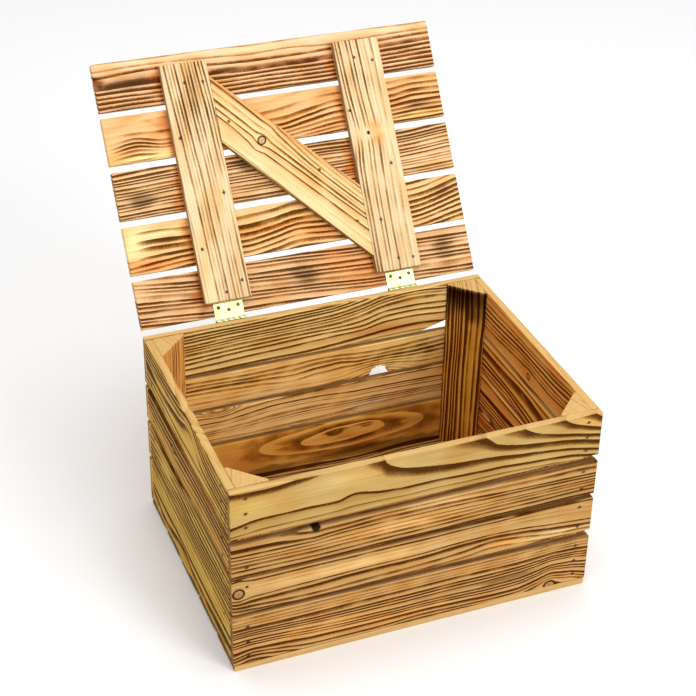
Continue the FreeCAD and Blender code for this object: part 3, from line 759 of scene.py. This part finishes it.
# ------------------------------------------------------------ board meshes
RIM_TINT = (212, 174, 112)    # top edges of the crate's boards
POST_TOP = (214, 174, 112)
LID_EDGE_SCORCH_AND_SHADE = (96, 58, 26)       # cut edges of the lid's boards: dark brown, partly scorch and partly painted shade
CUT_NEAR = (178, 132, 92)     # cut edges of the crate's boards, by their show face
CUT_GAP_SHADOW = (48, 28, 12)       # and towards their far face: painted shadow of the gap between boards
EDGE_R = 0.9
ALONG_STEP, ACROSS_STEP, THICK_STEP = 3.2, 1.3, 2.4
DENT_R, DENT_FLOOR_R, DENT_DEPTH = 1.75, 1.35, 1.0
DENT_SPAN, DENT_STEP = 1.9, 0.47
RELIEF = 0.16
WEAR = 0.32
SAW_CUT = 0.11


def stations(length, step, focus=()):
    """Grid lines from 0 to length, closer together at the edges and round each focus."""
    lines = list(np.linspace(EDGE_R, length - EDGE_R, max(2, int(round(length / step)))))
    for centre, half, fine in focus:
        lines = [x for x in lines if abs(x - centre) > half + 0.3 * fine]
        fresh = np.linspace(centre - half, centre + half, int(round(2 * half / fine)) + 1)
        lines += [x for x in fresh if EDGE_R < x < length - EDGE_R]
    lines = sorted(lines + [EDGE_R, length - EDGE_R])
    kept = [lines[0]]
    for x in lines[1:]:
        if x - kept[-1] > 0.12:
            kept.append(x)
    return np.array([0.0, 0.35 * EDGE_R] + kept + [length - 0.35 * EDGE_R, length])


def box_grid(us, vs, ws):
    """Points and quads of a box's surface, with grid lines at us, vs and ws."""
    shell = np.zeros((len(us), len(vs), len(ws)), bool)
    shell[[0, -1]] = True
    shell[:, [0, -1]] = True
    shell[:, :, [0, -1]] = True
    index = np.full(shell.shape, -1)
    index[shell] = np.arange(shell.sum())
    place = np.argwhere(shell)
    points = np.stack([us[place[:, 0]], vs[place[:, 1]], ws[place[:, 2]]], 1)
    quads = []
    for sheet, flip in ((index[:, :, -1], False), (index[:, :, 0], True), (index[:, -1], True),
                        (index[:, 0], False), (index[-1], False), (index[0], True)):
        a, b, c, d = sheet[:-1, :-1], sheet[1:, :-1], sheet[1:, 1:], sheet[:-1, 1:]
        order = (a, d, c, b) if flip else (a, b, c, d)
        quads.append(np.stack([x.ravel() for x in order], 1))
    return points, np.concatenate(quads)


def eased_box(points, size):
    """Points of a box's surface with its edges rounded to EDGE_R."""
    core = np.clip(points, EDGE_R, size - EDGE_R)
    off = points - core
    reach = np.linalg.norm(off, axis=1, keepdims=True)
    return np.where(reach > 1e-9, core + off / np.maximum(reach, 1e-9) * EDGE_R, points)


def make_piece(node, points_mm, faces, material, attributes, body):
    """Mesh in place of a CAD board, from points in mm, with its vertex attributes."""
    name = f"{node}_board"
    mesh = bpy.data.meshes.new(name)
    mesh.from_pydata((points_mm * MM).tolist(), [], faces)
    mesh.update()
    mesh.polygons.foreach_set("use_smooth", np.ones(len(mesh.polygons), bool))
    for key, values in attributes.items():
        if key == "tint":
            layer = mesh.attributes.new(key, "FLOAT_COLOR", "POINT")
            rgba = np.concatenate([values, np.ones((len(values), 1))], 1)
            layer.data.foreach_set("color", rgba.astype(np.float32).ravel())
        else:
            layer = mesh.attributes.new(key, "FLOAT_VECTOR", "POINT")
            layer.data.foreach_set("vector", values.astype(np.float32).ravel())
    mesh.materials.append(material)
    obj = bpy.data.objects.new(name, mesh)
    bpy.context.scene.collection.objects.link(obj)
    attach(obj, body)
    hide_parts(node)


def outline(node, along, across, out, base):
    """Where a CAD board lies: its run along, its edges at each end and its two faces."""
    p = node_points(node) - base
    a, b, c = p @ along, p @ across, p @ out
    near, far = a < a.min() + 0.05, a > a.max() - 0.05
    return (a.min(), a.max(), b[near].min(), b[near].max(), b[far].min(), b[far].max(),
            c.min(), c.max())


def colour_cuts(attributes, grain, node, body, c, thick, edge, upper_half):
    """Cut edges and ends: less scorched than the faces, and with a tint of their own, which on the
    crate's boards darkens towards the far face as painted shadow of the gap between boards, and on the
    lid's boards is a dark brown that is partly scorch and partly painted shade.

    c is the height above the far face and edge the distance from the nearer long edge.
    """
    inside = np.minimum(c, thick - c)
    rim = np.clip((inside - 0.4) / 1.2, 0, 1)
    attributes["grain"][:, 1] *= 1 - (1 - grain.rim) * rim
    attributes["band"][:, 1] *= 1 - 0.8 * rim
    if grain.rim >= 1:
        return
    on_top = upper_half * node.endswith("slat_1") + node.startswith("floor")
    top = np.clip((inside + 0.35 - edge) / 0.6, 0, 1) * (edge < 1.2) * on_top
    rest = np.maximum(rim, top) - top
    attributes["grain"][:, 1] *= 1 - 0.6 * top
    # painted shadow: the cut edge darkens towards the far face, where the gap between boards lies in
    # shade
    gap_shadow = smoothstep(2.5, 5.5, thick - c)[:, None]
    cut = linear(CUT_NEAR) * (1 - gap_shadow) + linear(CUT_GAP_SHADOW) * gap_shadow
    # the lid's cut edges: dark brown, partly scorch and partly painted shade
    if body == "lid":
        cut = np.tile(linear(LID_EDGE_SCORCH_AND_SHADE), (len(c), 1))
    attributes["tint"] = (attributes["tint"] * (1 - 0.85 * top - 0.7 * rest)[:, None]
                          + linear(RIM_TINT) * 0.85 * top[:, None] + cut * 0.7 * rest[:, None])


def straight(a, b):
    return a, b


def build_board(node, body, along, across, out, base, nails=(), lift=None, low_far=None,
                step=ALONG_STEP, to_grain=straight, from_grain=straight):
    """Detailed board in place of a CAD board; its show face looks along out.

    nails are (a, b, side) spots, side +1 on the show face and -1 behind. lift is the centre, half
    length and height of a rise in the lower edge, and low_far that edge's place at the far end.
    """
    grain = Grain(node, **SPEC[node])
    a0, a1, lo0, hi0, lo1, hi1, c0, c1 = outline(node, along, across, out, base)
    if low_far is not None:
        lo1 = low_far
    length, thick = a1 - a0, c1 - c0
    width = ((hi0 - lo0) + (hi1 - lo1)) / 2
    low = (lo0 + lo1) / 2
    focus_u = [(na - a0, DENT_SPAN, DENT_STEP) for na, nb, side in nails]
    focus_v = [(nb - low, DENT_SPAN, DENT_STEP) for na, nb, side in nails]
    for ku, kv, radius, stretch in grain.knots:
        ka, kb = from_grain(ku, kv)
        focus_u.append((ka - a0, 2.4 * radius * stretch, 1.0))
        focus_v.append((kb - low, 2.0 * radius, 0.8))
    if lift is not None:
        focus_u.append((lift[0] - a0, lift[1] + 1.0, 0.7))
    points, quads = box_grid(stations(length, step, focus_u), stations(width, ACROSS_STEP, focus_v),
                             stations(thick, THICK_STEP))
    points = eased_box(points, np.array([length, width, thick]))

    # Worn long edges and saw-cut ends, never outside the CAD board
    s, t, c = points[:, 0] / length, points[:, 1] / width, points[:, 2]
    a = a0 + points[:, 0]
    lower = lo0 + (lo1 - lo0) * s
    upper = hi0 + (hi1 - hi0) * s
    if lift is not None:
        lower = lower + lift[2](a, c / thick)
    lower = lower + WEAR * np.maximum(0.5 + 0.5 * ripple(grain.edge, a, 3 * c), 0) * (1 - t)
    upper = upper - WEAR * np.maximum(0.5 + 0.5 * ripple(grain.edge, a + 77, 3 * c), 0) * t
    b = lower + t * (upper - lower)
    saw_cut = SAW_CUT * np.maximum(1 + ripple(grain.edge, 4 * b, 5 * c), 0)
    from_end = np.minimum(s, 1 - s) * length
    a = a + np.where(s < 0.5, 1, -1) * saw_cut * np.clip(1 - from_end / 3, 0, 1)

    u, v = to_grain(a, b)
    attributes = grain.attributes(u, v, thick - c)
    front, back = c > thick - 0.01, c < 0.01
    edge = np.minimum(t, 1 - t) * width
    colour_cuts(attributes, grain, node, body, c, thick, edge, t > 0.5)
    for ku, kv, radius in grain.dead:
        loose = np.clip(2.2 - 1.4 * np.hypot(u - ku, v - kv) / radius, 0, 1)
        attributes["tint"] *= (1 - 0.93 * loose)[:, None]

    # Brushed relief: early wood lies a little lower, on both faces
    hollow = RELIEF * (0.5 + 0.5 * np.cos(2 * math.pi * attributes["grain"][:, 0]))
    hollow = hollow * np.clip(edge / 3 - 0.3, 0, 1)
    c = c - np.where(front, hollow, 0) + np.where(back, hollow, 0)
    for na, nb, side in nails:
        gap = np.hypot(a - na, b - nb)
        fall = np.clip((DENT_R - gap) / (DENT_R - DENT_FLOOR_R), 0, 1)
        face = front if side > 0 else back
        c = c - side * np.where(face, fall * DENT_DEPTH, 0)
        # Round each nail: a scorch ring, and the dent's tint darkened, partly soot and partly painted
        # shade in the recess
        near = np.clip((3.0 - gap) / 1.4, 0, 1) * face
        attributes["band"][:, 1] = np.maximum(attributes["band"][:, 1], 0.6 * near)
        attributes["tint"] *= (1 - 0.7 * near * (gap < 2.2))[:, None]
    world = base + np.outer(a, along) + np.outer(b, across) + np.outer(c0 + c, out)
    if np.dot(np.cross(along, across), out) < 0:
        quads = quads[:, ::-1]
    pale = node.startswith(("lid_batten", "lid_brace"))
    make_piece(node, world, quads.tolist(), PALE if pale else WOOD, attributes, body)


NAIL_CELL, NAIL_APART = 3.0, 8.0     # grid for sorting vertices; least gap between two nails


def nail_spots(node, along, across, base):
    """Centres of the separate nails in a CAD node, in the plane of along and across."""
    p = node_points(node) - base
    flat = np.stack([p @ along, p @ across], 1)
    cells = np.unique(np.round(flat / NAIL_CELL).astype(int), axis=0) * NAIL_CELL
    groups = []
    for cell in cells:
        for group in groups:
            if np.hypot(*(group[0] - cell)) < NAIL_APART:
                group.append(cell)
                break
        else:
            groups.append([cell])
    centres = []
    for group in groups:
        near = flat[np.hypot(*(flat - np.mean(group, axis=0)).T) < NAIL_APART]
        centres.append((near.min(0) + near.max(0)) / 2)
    return centres


def nails_on(found, node, along, across, out, base, side):
    """The found nails that lie on a board, as build_board takes them."""
    a0, a1, lo0, hi0, lo1, hi1, _, _ = outline(node, along, across, out, base)
    low, high = min(lo0, lo1), max(hi0, hi1)
    return [(a, b, side) for a, b in found if a0 < a < a1 and low + 2 < b < high - 2]


# --------------------------------------------------------- the crate boards
def wane(a, depth):
    """Waney lower edge at the right end of the top back slat."""
    rise = np.interp(a, [150.0, 168.0, 188.0, 240.0], [0.0, 5.5, 12.0, 14.0])
    return rise * (1.0 - 0.12 * depth)


KNOT_HOLE_AT, KNOT_HOLE_HALF, KNOT_HOLE_RISE = 90.5, 14.0, 13.0


def knot_hole(a, depth):
    """Half-round hole that a fallen knot left in the lower edge, the same at every depth."""
    inside = np.clip(1 - ((a - KNOT_HOLE_AT) / KNOT_HOLE_HALF) ** 2, 0, 1)
    return KNOT_HOLE_RISE * np.sqrt(inside) * (1 + 0.06 * np.sin(a * 1.1))


WALLS = (("front", X, -Y, 1), ("back", X, -Y, -1), ("left", -Y, -X, 1), ("right", -Y, -X, -1))
EDGES = {"back_slat_1": {"lift": (190.0, 52.0, wane), "low_far": 201.0},
         "back_slat_2": {"lift": (KNOT_HOLE_AT, KNOT_HOLE_HALF, knot_hole)}}
for wall, along, out, side in WALLS:
    found = nail_spots(f"wall_nails_{wall}", along, Z, ORIGIN)
    for number in (1, 2, 3, 4):
        node = f"{wall}_slat_{number}"
        nails = nails_on(found, node, along, Z, out, ORIGIN, side)
        build_board(node, "crate", along, Z, out, ORIGIN, nails, **EDGES.get(node, {}))

found = nail_spots("floor_nails", X, Y, ORIGIN)
for number in (1, 2, 3, 4, 5):
    node = f"floor_board_{number}"
    nails = nails_on(found, node, X, Y, Z, ORIGIN, -1)
    build_board(node, "crate", X, Y, Z, ORIGIN, nails, step=4.0)

# ----------------------------------------------------------- the lid boards
for number in (1, 2, 3, 4, 5):
    build_board(f"lid_slat_{number}", "lid", X, LID_ALONG, LID_INWARD, AXIS)
lid_nails = nail_spots("lid_nails", X, LID_ALONG, AXIS)
swapped = [(b, a) for a, b in lid_nails]
for side in ("left", "right"):
    node = f"lid_batten_{side}"
    nails = nails_on(swapped, node, LID_ALONG, X, LID_INWARD, AXIS, 1)
    build_board(node, "lid", LID_ALONG, X, LID_INWARD, AXIS, nails)

# The brace's grain runs along its slope
BRACE = outline("lid_brace", X, LID_ALONG, LID_INWARD, AXIS)
BRACE_A, BRACE_B = BRACE[0], (BRACE[2] + BRACE[3]) / 2
LEAN = math.atan2((BRACE[4] + BRACE[5]) / 2 - BRACE_B, BRACE[1] - BRACE_A)
BRACE_HALF = 34.0
COS, SIN = math.cos(LEAN), math.sin(LEAN)


def to_brace(a, b):
    """Coordinates along and across the slanting brace."""
    da, db = a - BRACE_A, b - BRACE_B
    return da * COS + db * SIN, -da * SIN + db * COS


def from_brace(u, v):
    return BRACE_A + u * COS - v * SIN, BRACE_B + u * SIN + v * COS


nails = [(a, b, 1) for a, b in lid_nails
         if BRACE_A + 4 < a < BRACE[1] - 4 and abs(to_brace(a, b)[1]) < BRACE_HALF]
build_board("lid_brace", "lid", X, LID_ALONG, LID_INWARD, AXIS, nails, step=2.0,
            to_grain=to_brace, from_grain=from_brace)

# ------------------------------------------------------------ corner posts
POST_TIP = 3.0
POST_LEVEL_STEP = 3.0
CAP_RINGS = np.arange(0.92, 0.05, -0.07)


def post_section(leg):
    """Closed outline of a triangular post with blunt tips and eased corners, at ACROSS_STEP."""
    shape = np.array([(0, 0), (leg, 0), (leg, POST_TIP), (POST_TIP, leg), (0, leg)], float)
    ring = []
    for i, here in enumerate(shape):
        before, after = shape[i - 1], shape[(i + 1) % len(shape)]
        back = (before - here) / np.linalg.norm(before - here)
        fore = (after - here) / np.linalg.norm(after - here)
        start, stop = here + back * EDGE_R, here + fore * EDGE_R
        ring += [start, (start + stop + 2 * here) / 4, stop]
        span = np.linalg.norm(after - here) - 2 * EDGE_R
        count = int(span / ACROSS_STEP)
        ring += [stop + fore * span * k / (count + 1) for k in range(1, count + 1)]
    return np.array(ring)


def post_mesh(ring, height):
    """Points and faces of the section carried up to height, with eased and gridded ends."""
    count, middle = len(ring), ring.mean(0)
    inward = middle - ring
    inward /= np.linalg.norm(inward, axis=1, keepdims=True)
    levels = [(0.0, 0.6), (0.3, 0.2), (0.8, 0.0)]
    levels += [(z, 0.0) for z in np.arange(3.5, height - 3, POST_LEVEL_STEP)]
    levels += [(height - 0.8, 0.0), (height - 0.3, 0.2), (height, 0.6)]
    rows = [np.column_stack([ring + inward * shrink, np.full(count, z)]) for z, shrink in levels]
    faces = []

    def band(lower, upper, flip=False):
        for i in range(count):
            j = (i + 1) % count
            quad = [lower + i, lower + j, upper + j, upper + i]
            faces.append(quad[::-1] if flip else quad)

    for k in range(len(levels) - 1):
        band(k * count, (k + 1) * count)
    for end, flip in ((0, True), (len(levels) - 1, False)):
        outer, rim = end * count, rows[end]
        for part in CAP_RINGS:
            inner = len(rows) * count
            rows.append(np.column_stack([middle + (rim[:, :2] - middle) * part, rim[:, 2]]))
            band(outer, inner, flip)
            outer = inner
        cap = list(range(outer, outer + count))
        faces.append(cap[::-1] if flip else cap)
    return np.concatenate(rows), faces


def build_post(node, side_x, side_y):
    """Triangular post; its grain runs up Z and its slope is the show face."""
    low, high = (np.array(corner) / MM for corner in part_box(node))
    corner_x = high[0] if side_x > 0 else low[0]
    corner_y = high[1] if side_y > 0 else low[1]
    leg, height = high[0] - low[0], high[2] - low[2]
    points, faces = post_mesh(post_section(leg), height)
    p, q, z = points.T
    v = (p - q) / math.sqrt(2) - leg / math.sqrt(2)
    w = (leg - p - q) / math.sqrt(2)
    attributes = Grain(node, **SPEC[node]).attributes(low[2] + z, v, w)
    top = np.clip((z - height + 1.2) / 0.8, 0, 1)
    attributes["tint"] = (attributes["tint"] * (1 - top)[:, None]
                          + linear(POST_TOP) * top[:, None])
    attributes["grain"][:, 1] *= 1 - 0.7 * top
    attributes["band"][:, 1] *= 1 - 0.85 * top
    world = np.column_stack([corner_x - side_x * p, corner_y - side_y * q, low[2] + z])
    if side_x * side_y < 0:
        faces = [face[::-1] for face in faces]
    make_piece(node, world, faces, WOOD, attributes, "crate")


for name, side_x, side_y in (("front_left", -1, -1), ("front_right", 1, -1),
                             ("back_left", -1, 1), ("back_right", 1, 1)):
    build_post(f"corner_post_{name}", side_x, side_y)


# ------------------------------------------------------------------ metals
def eased(node, body, material, width_mm):
    """Copy of a CAD metal piece with its edges rounded over."""
    source = frame["nodes"][node]
    mesh = source.data.copy()
    obj = bpy.data.objects.new(f"{node}_eased", mesh)
    obj.matrix_world = source.matrix_world.copy()
    bpy.context.scene.collection.objects.link(obj)
    mesh.materials.clear()
    mesh.materials.append(material)
    weld = obj.modifiers.new("weld", "WELD")
    weld.merge_threshold = 0.00001
    bevel = obj.modifiers.new("edges", "BEVEL")
    bevel.width = width_mm * MM
    bevel.segments = 2
    bevel.limit_method = "ANGLE"
    bevel.angle_limit = math.radians(35)
    bevel.harden_normals = False
    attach(obj, body)
    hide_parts(node)


for side in ("left", "right"):
    eased(f"hinge_{side}_crate_leaf", "crate", BRASS, 0.16)
    eased(f"hinge_{side}_pin", "crate", SCREW, 0.12)
    eased(f"hinge_{side}_lid_leaf", "lid", BRASS, 0.16)
eased("hinge_crate_screws", "crate", SCREW, 0.08)
eased("hinge_lid_screws", "lid", SCREW, 0.08)
for node, obj in frame["nodes"].items():
    if "nails" in node:
        for slot in obj.material_slots:
            slot.material = NAIL

# ------------------------------------------------------------------- stage
scene = bpy.context.scene
scene.view_settings.view_transform = "Standard"

FLOOR_HALF = 6.0
floor_mesh = bpy.data.meshes.new("studio_floor")
floor_mesh.from_pydata([(-FLOOR_HALF, -FLOOR_HALF, 0), (FLOOR_HALF, -FLOOR_HALF, 0),
                        (FLOOR_HALF, FLOOR_HALF, 0), (-FLOOR_HALF, FLOOR_HALF, 0)],
                       [], [(0, 1, 2, 3)])
floor = bpy.data.objects.new("studio_floor", floor_mesh)
scene.collection.objects.link(floor)
floor_material = bpy.data.materials.new("studio_floor")
floor_material.use_nodes = True
paint = floor_material.node_tree.nodes["Principled BSDF"].inputs
paint["Base Color"].default_value = (0.93, 0.93, 0.93, 1)
paint["Roughness"].default_value = 0.9
paint["Specular IOR Level"].default_value = 0.1
floor_mesh.materials.append(floor_material)

scene.world = bpy.data.worlds.new("studio")
scene.world.use_nodes = True
sky = scene.world.node_tree.nodes["Background"].inputs
sky["Color"].default_value = (1, 1, 1, 1)
sky["Strength"].default_value = 0.70


def area_light(name, place, target, size, level):
    """Square soft light that gives a facing white surface that level."""
    data = bpy.data.lights.new(name, "AREA")
    data.shape = "SQUARE"
    data.size = size
    aim = Vector(target) - Vector(place)
    data.energy = level * math.pi ** 2 * aim.length ** 2
    obj = bpy.data.objects.new(name, data)
    obj.location = place
    obj.rotation_euler = aim.to_track_quat("-Z", "Y").to_euler()
    scene.collection.objects.link(obj)


CENTRE = (0.0, 0.05, 0.2)
area_light("key", (1.5, -3.2, 2.2), CENTRE, 1.6, 0.46)
area_light("top", (0.0, 0.2, 3.6), CENTRE, 2.2, 0.45)

# ------------------------------------------------------------------ camera
CAMERA_AT = Vector((-0.6972, -1.6536, 1.4423))
CAMERA_AIM = Vector((0.0419, 0.1655, 0.2))
CAMERA_ROLL = math.radians(1.13)
SENSOR_MM, LENS_MM = 36.0, 88.08
camera_data = bpy.data.cameras.new("camera")
camera_data.sensor_width, camera_data.lens = SENSOR_MM, LENS_MM
camera = bpy.data.objects.new("camera", camera_data)
level = (CAMERA_AIM - CAMERA_AT).to_track_quat("-Z", "Y").to_matrix()
turn = level @ Matrix.Rotation(CAMERA_ROLL, 3, "Z")
camera.matrix_world = Matrix.Translation(CAMERA_AT) @ turn.to_4x4()
scene.collection.objects.link(camera)
scene.camera = camera
